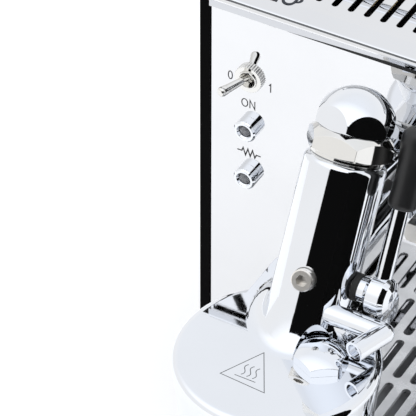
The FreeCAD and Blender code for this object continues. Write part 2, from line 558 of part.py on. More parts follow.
def make_lever():
    """Brewing lever: shaft with its cam, hub, arm and grip; the plunger it lifts."""
    shaft = rod(SHAFT + V(-10, 0, 0), X_AXIS, 40, 6.0)
    rest = math.radians(CAM_REST)
    front = V(0, -LEAN.z, LEAN.y)
    throw = (LEAN * math.cos(rest) + front * math.sin(rest)) * CAM_THROW
    cam = rod(SHAFT + throw + V(-6, 0, 0), X_AXIS, 12, CAM_R)
    save("lever_shaft", shaft.fuse(cam))
    hub_outline = [(6.02, 0), (7.5, 0), (7.5, 4), (11.5, 7), (11.5, 15), (10, 18), (6, 19.6), (0, 20),
                   (0, 2.2), (6.02, 2.2)]
    hub = spin(hub_outline, SHAFT + V(27.8, 0, 0), X_AXIS)
    arm_foot = SHAFT + V(LEVER_X, 0, 0)
    save("brew_lever", hub.fuse(rod(arm_foot, LEAN, 74, 5.0)))
    outline = [(6.6, 0), (7.9, 1.2), (8.4, 6), (8.1, 20), (9.0, 32), (9.8, 39), (8.6, 44.6), (5, 47), (1.5, 47.5)]
    grip = turn_smooth(outline, arm_foot + LEAN * 52, LEAN)
    save("lever_grip", grip.cut(rod(arm_foot + LEAN * 50, LEAN, 24.5, 5.02)))
    save("lever_seal", ring(SHAFT + V(24.05, 0, 0), X_AXIS, 3.4, 8.2, 6.08))
    bottom = SHAFT_AT + CAM_R + CAM_THROW * math.cos(rest) + 0.4
    body = rod(TUBE_FOOT + LEAN * bottom, LEAN, 26, 7.0)
    body = body.fuse(rod(TUBE_FOOT + LEAN * 40, LEAN, 14, 10.0))
    save("brew_plunger", body)
    coil = Part.Wire(Part.makeHelix(5.0, 20, 7.6))
    section = Part.makePolygon([V(r, 0, h) for r, h in ((6.6, -0.8), (8.6, -0.8), (8.6, 0.8), (6.6, 0.8), (6.6, -0.8))])
    spring = coil.makePipeShell([section], True, True)
    save("plunger_spring", place(spring, TUBE_FOOT + LEAN * 64.5, LEAN))


def make_brew_face():
    """Gasket and shower screen in the underside of the group."""
    centre = V(0, BELL_Y, 0)
    save("group_gasket", ring(centre + V(0, 0, RIM_Z + 2.0), Z_AXIS, 8, 36.5, 27.2))
    screen = rod(centre + V(0, 0, SCREEN_TOP_Z - 3), Z_AXIS, 3, 26.5)
    holes = [rod(centre + V(0, 0, SCREEN_TOP_Z - 4), Z_AXIS, 2, 1.0)]
    for count, radius in ((6, 6.0), (12, 12.0), (18, 18.0), (24, 23.5)):
        for k in range(count):
            a = 2 * math.pi * k / count
            foot = centre + V(radius * math.cos(a), radius * math.sin(a), SCREEN_TOP_Z - 4)
            holes.append(rod(foot, Z_AXIS, 2.4, 0.9))
    save("shower_screen", cut_all(screen, holes))
    save("group_bolts", *[flange_bolt(x, z) for x in (-25, 25) for z in (-25, 25)])


def flange_bolt(x, z):
    head = place(hexagon(13, 5.5, 0), V(x, -8, NECK_Z + z), FORWARD)
    return head.fuse(rod(V(x, 12, NECK_Z + z), FORWARD, 21, 4.0))


def make_portafilter():
    """Portafilter: locked body, basket, double spout and moulded handle."""
    centre = V(0, BELL_Y, 0)
    z = RIM_Z
    outline = [(30.4, z), (36, z), (36, z - 8), (35, z - 10), (35, z - 32), (30, z - 38), (9, z - 40),
               (9, z - 50), (4, z - 50), (4, z - 35), (30.4, z - 30)]
    body = spin(outline, centre, Z_AXIS)
    ears = []
    for side in (0, 180):
        ear = Part.makeCylinder(40.4, 5, V(0, BELL_Y, BELL_FOOT_Z + 5.6), Z_AXIS, 40)
        ear = ear.cut(rod(V(0, BELL_Y, BELL_FOOT_Z), Z_AXIS, 20, 35))
        ear.rotate(V(0, BELL_Y, 0), Z_AXIS, side - 20)
        ears.append(ear)
    for ear in ears:
        body = body.fuse(ear)
    aim, root = handle_line()
    stub = rod(root, aim, 36, 7.0).cut(rod(V(0, BELL_Y, 0), Z_AXIS, 400, 33))
    save("portafilter_body", body.fuse(stub))
    shape = [(9.5, 0), (11.6, 1.2), (12.6, 5), (12.0, 24), (12.6, 48), (14.4, 76), (15.4, 98), (14.4, 111),
             (10.5, 118), (3.5, GRIP_LENGTH)]
    grip_foot = root + aim * HANDLE_STUB
    save("portafilter_handle", turn_smooth(shape, grip_foot, aim))
    cup = [(28.9, z), (28.9, z - 25), (0, z - 25), (0, z - 25.8), (29.7, z - 25.8), (29.7, z + 0.05),
           (34.5, z + 0.05), (34.5, z + 1.2), (28.9, z + 1.2)]
    save("filter_basket", spin(cup, centre, Z_AXIS))
    foot = centre + V(0, 0, z - 50)
    spout = rod(foot + V(0, 0, -7), Z_AXIS, 7, 9).fuse(rod(foot + V(-17, 0, -9), X_AXIS, 34, 6.5))
    for side in (-1, 1):
        leg = rod(foot + V(side * 17, 0, -9), V(0, 0, -1), 13, 6.5)
        spout = spout.fuse(leg).fuse(Part.makeSphere(6.5, foot + V(side * 17, 0, -9)))
    for side in (-1, 1):
        spout = spout.cut(rod(foot + V(side * 17, 0, -9), V(0, 0, -1), 20, 4.4))
    spout = spout.cut(rod(foot + V(-17, 0, -9), X_AXIS, 34, 4.0)).cut(rod(foot + V(0, 0, -9), Z_AXIS, 12, 4.0))
    save("portafilter_spout", spout)


def handle_line():
    """Direction and starting point of the handle, which drops slightly to the front."""
    drop = math.radians(HANDLE_DROP)
    return V(0, -math.cos(drop), -math.sin(drop)), V(0, BELL_Y - HANDLE_ROOT, RIM_Z - 22.5)


# ---------------------------------------------------------------- drip tray
def make_drip_tray():
    half = PANEL_HALF - 3
    tray = box(-half, half, TRAY_FRONT_Y + 1, -3, BASE_Z + 3, TRAY_TOP_Z)
    tray = tray.cut(box(-half + 2.5, half - 2.5, TRAY_FRONT_Y + 4, -5.5, BASE_Z + 5.5, TRAY_TOP_Z + 1))
    pull = box(-40, 40, TRAY_FRONT_Y - 6, TRAY_FRONT_Y + 1, TRAY_TOP_Z - 12, TRAY_TOP_Z - 4)
    front = [e for e in pull.Edges if e.CenterOfMass.y < TRAY_FRONT_Y - 1]
    tray = tray.fuse(pull.makeFillet(2.5, [e for e in front if abs(e.tangentAt(e.FirstParameter).x) > 0.9]))
    ledge = box(-half + 2.5, half - 2.5, TRAY_FRONT_Y + 4, -5.5, TRAY_TOP_Z - 4, TRAY_TOP_Z - 2)
    ledge = ledge.cut(box(-half + 7, half - 7, TRAY_FRONT_Y + 9, -10, TRAY_TOP_Z - 6, TRAY_TOP_Z))
    save("drip_tray", tray.fuse(ledge))
    plate = box(-half + 3, half - 3, TRAY_FRONT_Y + 4.5, -6, TRAY_TOP_Z - 1.7, TRAY_TOP_Z + 0.8)
    cutters = []
    for row in range(4):
        for k in range(17):
            y0 = TRAY_FRONT_Y + 14 + 40 * row
            cutters.append(slot(12.4 * (k - 8), y0, y0 + 34, TRAY_TOP_Z - 4, TRAY_TOP_Z + 3, 6.0))
    save("drip_grid", cut_all(plate, cutters))


# ---------------------------------------------------------------- inside
def make_tank():
    x0, x1, y0, y1, z0, z1 = TANK
    hollow = rounded(x0 + 2.5, x1 - 2.5, y0 + 2.5, y1 - 2.5, z0 + 3, z1 + 1, 5.5)
    tank = rounded(x0, x1, y0, y1, z0, z1, 8).cut(hollow)
    tank = tank.fuse(rod(V(0, 200, z0 - 4), Z_AXIS, 5, 8)).cut(rod(V(0, 200, z0 - 6), Z_AXIS, 12, 3))
    save("water_tank", tank)
    lid = rounded(x0, x1, y0, y1, z1 + 0.3, TOP_Z + 0.5, 8)
    lid = lid.cut(rounded(x0 + 3, x1 - 3, y0 + 3, y1 - 3, z1, TOP_Z - 2, 5))
    pull = rounded(-18, 18, y0 + 5, y0 + 15, TOP_Z + 0.5, TOP_Z + 6, 4)
    save("tank_lid", lid.fuse(pull))
    valve = rod(V(0, 200, BASE_Z + 2), Z_AXIS, z0 - 4.2 - BASE_Z - 2, 7)
    valve = valve.fuse(rod(V(0, 200, z0 - 7), Z_AXIS, 2.6, 14))
    valve = valve.cut(rod(V(0, 200, BASE_Z + 10), Z_AXIS, 30, 3))
    valve = valve.fuse(rod(V(0, 200, BASE_Z + 12), FORWARD, 20, 4))
    save("tank_valve", valve)


def make_boiler():
    """Horizontal copper boiler with a flanged end, element, insulation bands and cradle."""
    start = V(-BOILER_HALF, BOILER_Y, BOILER_Z)
    shell = spin([(0, 0), (46, 0), (55, 4), (BOILER_R, 12), (BOILER_R, 2 * BOILER_HALF - 8),
                  (64, 2 * BOILER_HALF - 8), (64, 2 * BOILER_HALF), (0, 2 * BOILER_HALF)], start, X_AXIS)
    hollow = spin([(0, 2), (45, 2), (54, 6), (BOILER_R - 2, 13), (BOILER_R - 2, 2 * BOILER_HALF - 8),
                   (40, 2 * BOILER_HALF - 6), (40, 2 * BOILER_HALF + 1), (0, 2 * BOILER_HALF + 1)], start, X_AXIS)
    shell = shell.cut(hollow)
    for dx in STUB_X:
        shell = shell.fuse(rod(V(dx, BOILER_Y, BOILER_Z + BOILER_R - 4), Z_AXIS, 10, 6))
    save("boiler", shell)
    end = V(BOILER_HALF, BOILER_Y, BOILER_Z)
    cover = rod(end + V(0.05, 0, 0), X_AXIS, 6, 64)
    for dy in (-9, 9):
        cover = cover.fuse(rod(end + V(5, dy, 0), X_AXIS, 14, 4))
    loop = pipe([end + V(dx, dy, -26) for dx, dy in ((2, -24), (-110, -24), (-110, 24), (2, 24))], 4.2)
    bolts = []
    for k in range(8):
        a = math.radians(22.5 + 45 * k)
        foot = end + V(6.1, 59 * math.cos(a), 59 * math.sin(a))
        bolts.append(place(hexagon(7, 4, 0), foot, X_AXIS))
    save("heating_element", cover.fuse(loop), *bolts)
    cradle = []
    for dx in BAND_X:
        leg = box(dx - 6, dx + 6, BOILER_Y - 40, BOILER_Y + 40, BASE_Z + 2, BOILER_Z - 20)
        leg = leg.cut(rod(V(dx - 10, BOILER_Y, BOILER_Z), X_AXIS, 20, BOILER_R + 1.25))
        leg = leg.cut(box(dx - 8, dx + 8, BOILER_Y - 30, BOILER_Y + 30, BASE_Z + 10, BOILER_Z - 75))
        cradle.append(leg)
    bands = [ring(V(dx - 5, BOILER_Y, BOILER_Z), X_AXIS, 10, BOILER_R + 1.2, BOILER_R + 0.02) for dx in BAND_X]
    save("boiler_cradle", *cradle, *bands)


def make_boiler_fittings():
    """Pressure-stat, safety valve and vacuum breaker on the boiler's three stubs."""
    top = BOILER_Z + BOILER_R + 6.05
    stat_at, safety_at, breaker_at = [V(x, BOILER_Y, top) for x in STUB_X]
    up = Z_AXIS
    stat = rod(stat_at, up, 14, 6).fuse(rod(stat_at + up * 14, up, 12, 22))
    save("pressurestat", stat.fuse(rounded(-51, -21, BOILER_Y - 14, BOILER_Y + 14, top + 26, top + 52, 3)))
    safety = place(hexagon(17, 8, 0), safety_at, up).fuse(rod(safety_at + up * 8, up, 20, 6))
    safety = safety.fuse(rod(safety_at + up * 28, up, 4, 8))
    save("boiler_valves", safety, place(hexagon(14, 16, 0), breaker_at, up))


def make_pump():
    body = rounded(-96, -62, 62, 146, 40, 74, 4)
    body = body.fuse(rod(V(-79, 62, 57), FORWARD, 22, 9)).fuse(rod(V(-79, 146, 57), Y_AXIS, 9, 5))
    pads = [box(-100, -58, y, y + 10, BASE_Z + 2.05, 39.95) for y in (72, 124)]
    save("pump", body, *pads)
    save("control_box", rounded(-114, -98, 30, 120, 130, 230, 3))


def make_pipes():
    """Copper pipes between the boiler, the valves, the group and the pump."""
    outlet_z = BOILER_Z + 26
    steam = [V(40, 34, outlet_z), V(40, 18, outlet_z), V(VALVE_X, 18, 236), V(VALVE_X, 26, 250.4)]
    feed = [V(-79, 39.8, 57), V(-79, 16, 57), V(-70, 16, 150), V(-44, 16, BOILER_Z + 12),
            V(-14, 16, NECK_Z), V(0, 1, NECK_Z)]
    save("boiler_pipes", pipe(steam, 3.0), pipe(feed, 3.0))
    low = BASE_Z + 12
    suction = [V(0, 179.9, low), V(0, 169, low), V(-45, 169, low), V(-79, 170, 47), V(-79, 157.5, 57)]
    save("suction_hose", pipe(suction, 3.5))


make_base()
make_side(-1, "left_side_panel")
make_side(1, "right_side_panel")
make_front_panel()
make_top_cover()
make_rear_panel()
make_inlet()
make_cup_rail()
make_switch()
make_lamps()
make_gauge()
for outlet in ("steam", "water"):
    make_valve(outlet)
sockets, nuts = zip(*[make_wand(outlet) for outlet in ("steam", "water")])
save("wand_sockets", *sockets)
save("wand_nuts", *nuts)
make_group_trim(make_group_body())
make_lever()
make_brew_face()
make_portafilter()
make_drip_tray()
make_tank()
make_boiler()
make_boiler_fittings()
make_pump()
make_pipes()
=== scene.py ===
"""Looks of the espresso machine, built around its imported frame.

Units are metres. X runs across the machine, -Y is its front and Z is up, as in the frame.
"""
import json
import math

import bmesh
import bpy
from mathutils import Matrix, Vector


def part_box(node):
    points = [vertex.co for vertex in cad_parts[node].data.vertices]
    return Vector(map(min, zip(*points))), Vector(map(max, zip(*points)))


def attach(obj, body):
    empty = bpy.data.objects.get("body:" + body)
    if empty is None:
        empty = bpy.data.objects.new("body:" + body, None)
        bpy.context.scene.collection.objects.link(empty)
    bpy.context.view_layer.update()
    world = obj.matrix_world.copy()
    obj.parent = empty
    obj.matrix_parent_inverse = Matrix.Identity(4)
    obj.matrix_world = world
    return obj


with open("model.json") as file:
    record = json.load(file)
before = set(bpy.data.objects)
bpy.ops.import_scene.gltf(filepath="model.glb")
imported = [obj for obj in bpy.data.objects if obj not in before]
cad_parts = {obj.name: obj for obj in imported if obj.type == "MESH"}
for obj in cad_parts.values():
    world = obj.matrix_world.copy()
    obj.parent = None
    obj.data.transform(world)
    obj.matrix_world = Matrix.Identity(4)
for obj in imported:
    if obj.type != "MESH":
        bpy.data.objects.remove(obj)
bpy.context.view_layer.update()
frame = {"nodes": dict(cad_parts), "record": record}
NODES = frame["nodes"]
MM = 0.001

# ---------------------------------------------------------------- places read from the frame
PANEL_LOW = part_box("front_panel")[0]
PANEL_FACE = PANEL_LOW.y
BEZEL_LOW, BEZEL_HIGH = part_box("lamp_bezels")
NUT_LOW, NUT_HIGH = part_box("toggle_nut")
SWITCH = Vector(((NUT_LOW.x + NUT_HIGH.x) / 2, PANEL_FACE, (NUT_LOW.z + NUT_HIGH.z) / 2))
GASKET_LOW, GASKET_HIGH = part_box("group_gasket")
PLUG_ROOT = 5 * MM            # the plug's thread reaches this far into the bell's top face
BELL = Vector((0, (GASKET_LOW.y + GASKET_HIGH.y) / 2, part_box("group_plug")[0].z + PLUG_ROOT))
DIAL_LOW, DIAL_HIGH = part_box("gauge_dial")
DIAL = Vector(((DIAL_LOW.x + DIAL_HIGH.x) / 2, DIAL_LOW.y, (DIAL_LOW.z + DIAL_HIGH.z) / 2))
DIAL_R = (DIAL_HIGH.x - DIAL_LOW.x) / 2
COVER_LOW, COVER_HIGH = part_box("top_cover")
KNOBS = {name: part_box(name + "_knob") for name in ("steam", "water")}
REAR_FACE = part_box("rear_panel")[1].y
TANK_LOW, TANK_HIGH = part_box("water_tank")

# ---------------------------------------------------------------- camera and studio
CAMERA_AZIMUTH = 29.63        # degrees to the viewer's right of the front
CAMERA_ELEVATION = 39.70
CAMERA_ROLL = 0.09
CAMERA_DISTANCE = 1.766
LENS, SENSOR = 248.1, 36.0    # millimetres
AIM = Vector((PANEL_LOW.x - 1.95 * MM, PANEL_FACE, 0.203))

WHITE = (1.0, 1.0, 1.0)
FLOOR_R = 1.5
DARK_SIDE = (-15.0, 84.0, -40.0, 38.0)      # the unlit side of the room: azimuths and elevations, degrees
DARK_BACK = (150.0, 215.0, -3.0, 14.0)      # a grey band behind the machine
EDGE = 0.6                                  # softness of those edges, degrees
HORIZON = (22.0, 42.0)                      # elevations between which the room's front grows brighter
FRONT_SHARE = (0.95, 1.26)                  # brightness of the upper room behind and in front
TINT_RISE = (10.0, 70.0)                    # elevations between which the room turns bluish
SKY = (1.04, 1.07, 1.12)
UNLIT, GREY_BAND, BAND_SHARE = (0.0045, 0.0045, 0.0045), (0.12, 0.12, 0.12), 0.7
LAMP_PLACE, LAMP_SIZE, LAMP_POWER = (-0.4, -0.5, 1.9), (1.4, 1.1), 9.0
LAMP_AIM = (0, 0, 0.2)
FLOOR_GLOW = 0.26
# two black cards that only reflections see: a tall one beside the machine and a slim strip
CARD_X, CARD_Y, CARD_Z = 0.42, (-0.45, -0.02), (0.0, 0.9)
STRIP_OUT = 235 * MM                          # the strip is this far in front of the panel
STRIP_ASIDE, STRIP_UP = -105 * MM, 225 * MM   # its middle, from the top plate's left upper edge
STRIP_WIDTH, STRIP_LONG = 9 * MM, 34 * MM
STRIP_LEAN = 25.0                             # degrees


def outward(azimuth, elevation):
    """Unit vector from the machine; azimuth 0 is its front, positive towards +X."""
    a, e = math.radians(azimuth), math.radians(elevation)
    return Vector((math.sin(a) * math.cos(e), -math.cos(a) * math.cos(e), math.sin(e)))


def make_camera():
    data = bpy.data.cameras.new("camera")
    data.lens, data.sensor_width = LENS, SENSOR
    data.clip_start, data.clip_end = 0.05, 50
    camera = bpy.data.objects.new("camera", data)
    bpy.context.scene.collection.objects.link(camera)
    back = outward(CAMERA_AZIMUTH, CAMERA_ELEVATION)
    camera.location = AIM + back * CAMERA_DISTANCE
    turn = (-back).to_track_quat("-Z", "Y").to_matrix() @ Matrix.Rotation(math.radians(CAMERA_ROLL), 3, "Z")
    camera.rotation_euler = turn.to_euler()
    bpy.context.scene.camera = camera


# ---------------------------------------------------------------- node graphs
class Graph:
    """A short way to write a node tree: numbers and sockets mix freely as inputs."""

    def __init__(self, tree):
        self.tree = tree
        tree.nodes.clear()

    def node(self, kind, inputs=None, **settings):
        made = self.tree.nodes.new(kind)
        for key, value in settings.items():
            setattr(made, key, value)
        for key, value in (inputs or {}).items():
            self.feed(made.inputs[key], value)
        return made

    def feed(self, socket, value):
        if isinstance(value, bpy.types.NodeSocket):
            self.tree.links.new(value, socket)
        elif isinstance(value, (tuple, list)) and len(value) == 3 and socket.type == "RGBA":
            socket.default_value = (*value, 1.0)
        else:
            socket.default_value = value

    def math(self, operation, a, b=0.0):
        return self.node("ShaderNodeMath", {0: a, 1: b}, operation=operation).outputs[0]

    def remap(self, value, low, high, to_low=0.0, to_high=1.0, smooth=False):
        kind = "SMOOTHSTEP" if smooth else "LINEAR"
        inputs = {"Value": value, "From Min": low, "From Max": high, "To Min": to_low, "To Max": to_high}
        return self.node("ShaderNodeMapRange", inputs, interpolation_type=kind).outputs[0]

    def mix(self, share, a, b):
        made = self.node("ShaderNodeMix", data_type="RGBA")
        for socket, value in ((made.inputs[0], share), (made.inputs[6], a), (made.inputs[7], b)):
            self.feed(socket, value)
        return made.outputs[2]

    def coords(self, stretch=(1, 1, 1)):
        place = self.node("ShaderNodeTexCoord").outputs["Object"]
        if stretch == (1, 1, 1):
            return place
        return self.node("ShaderNodeMapping", {"Vector": place, "Scale": stretch}).outputs[0]

    def noise(self, scale, detail=2.0, rough=0.5, stretch=(1, 1, 1)):
        inputs = {"Vector": self.coords(stretch), "Scale": scale, "Detail": detail, "Roughness": rough}
        return self.node("ShaderNodeTexNoise", inputs).outputs[0]

    def cells(self, scale, output="Distance"):
        return self.node("ShaderNodeTexVoronoi", {"Vector": self.coords(), "Scale": scale}).outputs[output]

    def soft_edge(self, radius):
        return self.node("ShaderNodeBevel", {"Radius": radius}, samples=4).outputs[0]

    def bump(self, height, distance, normal=None, strength=1.0):
        inputs = {"Height": height, "Distance": distance, "Strength": strength}
        if normal is not None:
            inputs["Normal"] = normal
        return self.node("ShaderNodeBump", inputs).outputs[0]

    def edge_wear(self, radius):
        """1 where the surface turns sharply within the radius, 0 on flat ground."""
        true = self.node("ShaderNodeNewGeometry").outputs["Normal"]
        dot = self.node("ShaderNodeVectorMath", {0: true, 1: self.soft_edge(radius)}, operation="DOT_PRODUCT")
        return self.remap(dot.outputs["Value"], 0.985, 0.86)


def surface(name, **inputs):
    """A material with one principled shader; returns it, its graph and the shader."""
    made = bpy.data.materials.new(name)
    made.use_nodes = True
    graph = Graph(made.node_tree)
    shader = graph.node("ShaderNodeBsdfPrincipled", inputs)
    output = graph.node("ShaderNodeOutputMaterial")
    graph.tree.links.new(shader.outputs[0], output.inputs[0])
    return made, graph, shader


def scaled(colour, factor):
    return tuple(min(1.0, c * factor) for c in colour)


# ---------------------------------------------------------------- materials
EDGE_RADIUS = 0.35 * MM


def plated(name, colour, low=0.015, high=0.05, wave=0.012):
    """Bright plating: a faint handling film, and the slow ripple of polished metal."""
    made, g, shader = surface(name, Metallic=1.0)
    film = g.noise(14.0, 4.0, 0.55)
    fine = g.noise(900.0, 2.0)
    g.feed(shader.inputs["Base Color"], g.mix(g.remap(film, 0.35, 0.75), colour, scaled(colour, 0.965)))
    rough = g.math("ADD", g.remap(film, 0.4, 0.75, low, high), g.remap(fine, 0.4, 0.8, 0, 0.012))
    g.feed(shader.inputs["Roughness"], rough)
    g.feed(shader.inputs["Normal"], g.bump(g.noise(22.0, 1.0), wave * MM, g.soft_edge(EDGE_RADIUS)))
    return made


def brushed(name, colour, along=(1, 1, 60), roughness=(0.22, 0.36), depth=0.006):
    """Brushed sheet: fine streaks that run across the stretched direction."""
    made, g, shader = surface(name, Metallic=1.0, Anisotropic=0.35)
    streak = g.noise(45.0, 5.0, 0.65, along)
    cloud = g.noise(12.0, 3.0)
    g.feed(shader.inputs["Base Color"], g.mix(g.remap(streak, 0.3, 0.7), colour, scaled(colour, 0.86)))
    rough = g.math("ADD", g.remap(streak, 0.3, 0.7, *roughness), g.remap(cloud, 0.4, 0.7, 0, 0.05))
    g.feed(shader.inputs["Roughness"], rough)
    g.feed(shader.inputs["Normal"], g.bump(streak, depth * MM, g.soft_edge(EDGE_RADIUS)))
    return made


def zinc(name):
    """Zinc plate with its spangle."""
    made, g, shader = surface(name, Metallic=1.0)
    spangle = g.cells(110.0, "Color")
    tone = g.math("ADD", g.math("MULTIPLY", spangle, 0.5), g.math("MULTIPLY", g.noise(60.0, 3.0), 0.5))
    g.feed(shader.inputs["Base Color"], g.mix(tone, (0.50, 0.53, 0.56), (0.70, 0.71, 0.70)))
    g.feed(shader.inputs["Roughness"], g.remap(tone, 0.2, 0.8, 0.28, 0.46))
    g.feed(shader.inputs["Normal"], g.bump(tone, 0.01 * MM, g.soft_edge(EDGE_RADIUS)))
    return made


def bare(name, colour, tarnish):
    """Bare copper or brass, tarnished in patches."""
    made, g, shader = surface(name, Metallic=1.0)
    patch = g.noise(28.0, 6.0, 0.62)
    spot = g.noise(420.0, 3.0)
    g.feed(shader.inputs["Base Color"], g.mix(g.remap(patch, 0.38, 0.68), colour, tarnish))
    rough = g.math("ADD", g.remap(patch, 0.35, 0.7, 0.2, 0.42), g.remap(spot, 0.4, 0.8, 0, 0.1))
    g.feed(shader.inputs["Roughness"], rough)
    g.feed(shader.inputs["Normal"], g.bump(spot, 0.012 * MM, g.soft_edge(EDGE_RADIUS)))
    return made


def powder_coat(name):
    """Black powder coat: fine pebble, a little dust, and a burnished shine on the edges."""
    made, g, shader = surface(name, **{"Specular IOR Level": 0.022})
    pebble = g.noise(1500.0, 2.0, 0.6)
    dust = g.noise(7.0, 4.0)
    worn = g.edge_wear(0.7 * MM)
    ground = g.mix(g.remap(dust, 0.35, 0.8), (0.0012, 0.0012, 0.0013), (0.0026, 0.0027, 0.0028))
    g.feed(shader.inputs["Base Color"], g.mix(g.math("MULTIPLY", worn, 0.5), ground, (0.012, 0.012, 0.013)))
    rough = g.math("SUBTRACT", g.remap(pebble, 0.3, 0.7, 0.34, 0.46), g.math("MULTIPLY", worn, 0.1))
    g.feed(shader.inputs["Roughness"], rough)
    g.feed(shader.inputs["Normal"], g.bump(pebble, 0.02 * MM, g.soft_edge(0.5 * MM)))
    return made


def moulded(name, colour, roughness=(0.34, 0.46), grain=1100.0, depth=0.012, wear=0.35):
    """Moulded plastic with a fine spark-eroded grain, polished by hands along its edges."""
    made, g, shader = surface(name, **{"Specular IOR Level": 0.5})
    texture = g.noise(grain, 3.0, 0.6)
    cloud = g.noise(18.0, 3.0)
    worn = g.edge_wear(0.8 * MM)
    ground = g.mix(g.remap(cloud, 0.35, 0.7), colour, scaled(colour, 1.35))
    g.feed(shader.inputs["Base Color"], g.mix(g.math("MULTIPLY", worn, wear), ground, scaled(colour, 2.4)))
    rough = g.math("SUBTRACT", g.remap(texture, 0.3, 0.7, *roughness), g.math("MULTIPLY", worn, 0.08))
    g.feed(shader.inputs["Roughness"], rough)
    g.feed(shader.inputs["Normal"], g.bump(texture, depth * MM, g.soft_edge(0.4 * MM)))
    return made


def rubbery(name, colour, roughness=(0.62, 0.8)):
    """Rubber or silicone: dull, slightly mottled, with a trace of bloom."""
    made, g, shader = surface(name, **{"Sheen Weight": 0.15, "Sheen Roughness": 0.5})
    mottle = g.noise(90.0, 4.0)
    fine = g.noise(1600.0, 2.0)
    g.feed(shader.inputs["Base Color"], g.mix(g.remap(mottle, 0.35, 0.7), colour, scaled(colour, 1.5)))
    g.feed(shader.inputs["Roughness"], g.remap(mottle, 0.3, 0.7, *roughness))
    g.feed(shader.inputs["Normal"], g.bump(fine, 0.015 * MM, g.soft_edge(0.5 * MM)))
    return made


def clear(name, colour, roughness=0.02, transmission=0.95, ripple=0.002, ior=1.49):
    """Glass or clear plastic with a slight ripple and a film of dust."""
    made, g, shader = surface(name, **{"Transmission Weight": transmission, "IOR": ior})
    film = g.noise(60.0, 4.0)
    g.feed(shader.inputs["Base Color"], g.mix(g.remap(film, 0.4, 0.8), colour, scaled(colour, 0.93)))
    g.feed(shader.inputs["Roughness"], g.remap(film, 0.35, 0.8, roughness, roughness + 0.05))
    g.feed(shader.inputs["Normal"], g.bump(g.noise(80.0, 1.0), ripple * MM))
    return made


def inked(name, colour, roughness=0.45):
    """Screen-printed ink or matt enamel, very slightly uneven."""
    made, g, shader = surface(name)
    spread = g.noise(700.0, 3.0)
    faded = tuple(c * 0.8 + 0.012 for c in colour)
    g.feed(shader.inputs["Base Color"], g.mix(g.remap(spread, 0.35, 0.75), colour, faded))
    g.feed(shader.inputs["Roughness"], g.remap(spread, 0.3, 0.7, roughness, roughness + 0.12))
    g.feed(shader.inputs["Normal"], g.bump(spread, 0.004 * MM))
    return made


CHROME = plated("chrome_plate", (0.83, 0.85, 0.885))
NICKEL = plated("nickel_plate", (0.80, 0.79, 0.765), 0.02, 0.07)
MIRROR = plated("polished_sheet", (0.786, 0.790, 0.802), 0.01, 0.035, 0.004)
# a darker copy of the plating, a little rougher: painted shade on the lip's face
SHADED_LIP = plated("shaded_lip_sheet", (0.60, 0.61, 0.635), 0.03, 0.07, 0.004)
BRUSHED = brushed("brushed_sheet", (0.66, 0.665, 0.67))
SCREW = brushed("screw_steel", (0.94, 0.91, 0.86), (1, 1, 1), (0.25, 0.34))
ZINC = zinc("zinc_plate")
BLACK = powder_coat("powder_coat")
PLASTIC = moulded("black_plastic", (0.0085, 0.0085, 0.0090))
RUBBER = rubbery("black_rubber", (0.012, 0.012, 0.012))
SILICONE = rubbery("silicone", (0.62, 0.61, 0.57), (0.4, 0.55))
COPPER = bare("copper", (0.80, 0.42, 0.27), (0.38, 0.20, 0.13))
BRASS = bare("brass", (0.80, 0.62, 0.33), (0.46, 0.34, 0.19))
LENS_GREY = clear("lamp_lens", (0.42, 0.43, 0.46), 0.05, 0.55)
GLASS = clear("gauge_glass", (0.97, 0.98, 0.98), 0.0, 1.0)
TANK = clear("tank_plastic", (0.80, 0.85, 0.88), 0.32, 0.7, 0.01)
ENAMEL = inked("dial_enamel", (0.84, 0.84, 0.80), 0.4)
INK = inked("black_ink", (0.012, 0.012, 0.014))
# near-black ink used only for painted shade: along the lip's lower edge and in the screw recesses
PAINTED_SHADE = inked("painted_shade", (0.010, 0.010, 0.011), 0.6)
NAVY = inked("navy_ink", (0.010, 0.014, 0.026))
RED = inked("red_paint", (0.42, 0.03, 0.02), 0.4)
# grey for etched lines and print, and also for the dark band painted along the lip's bend as its reflection
ETCH_AND_PAINTED_REFLECTION = inked("grey_etch_and_painted_reflection", (0.115, 0.12, 0.125), 0.5)

SLOT_FINISH = {
    "polished_steel": MIRROR, "chrome": CHROME, "black_paint": BLACK, "brushed_steel": BRUSHED,
    "zinc_steel": ZINC, "black_plastic": PLASTIC, "tank_plastic": TANK, "rubber": RUBBER,
    "copper": COPPER, "brass": BRASS, "screw_steel": SCREW, "lens": LENS_GREY,
    "gauge_glass": GLASS, "dial_white": ENAMEL, "needle_black": INK, "hose": SILICONE,
}
NICKEL_NODES = ("toggle_switch", "toggle_nut", "toggle_lever", "group_collar_nut")


def finish_nodes():
    """Give every node of the frame its finish, by the slot that the record names."""
    slots = {part["node"]: part["material_slot"] for part in frame["record"]["subparts"]}
    for name, node in NODES.items():
        made = NICKEL if name in NICKEL_NODES else SLOT_FINISH[slots[name]]
        for slot in node.material_slots:
            slot.material = made


# ---------------------------------------------------------------- new pieces
OFF = 0.01 * MM               # a mark lies this far off or in its surface, so that no faces coincide


def piece(name, mesh, material, body):
    """A finished mesh as a piece of the object that moves with one body."""
    made = bpy.data.objects.new(name, mesh)
    bpy.context.scene.collection.objects.link(made)
    mesh.materials.append(material)
    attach(made, body)
    return made


def from_mesh(name, bm, material, body):
    """Close a bmesh into a piece with outward faces."""
    bmesh.ops.recalc_face_normals(bm, faces=bm.faces)
    mesh = bpy.data.meshes.new(name)
    bm.to_mesh(mesh)
    bm.free()
    return piece(name, mesh, material, body)


def facing(direction, x, y, z):
    """Axes of a mark on an upright face seen from -Y (front) or +Y (back)."""
    side = 1 if direction == "front" else -1
    axes = Matrix(((side, 0, 0), (0, 0, -side), (0, 1, 0))).to_4x4()
    return Matrix.Translation((x, y, z)) @ axes


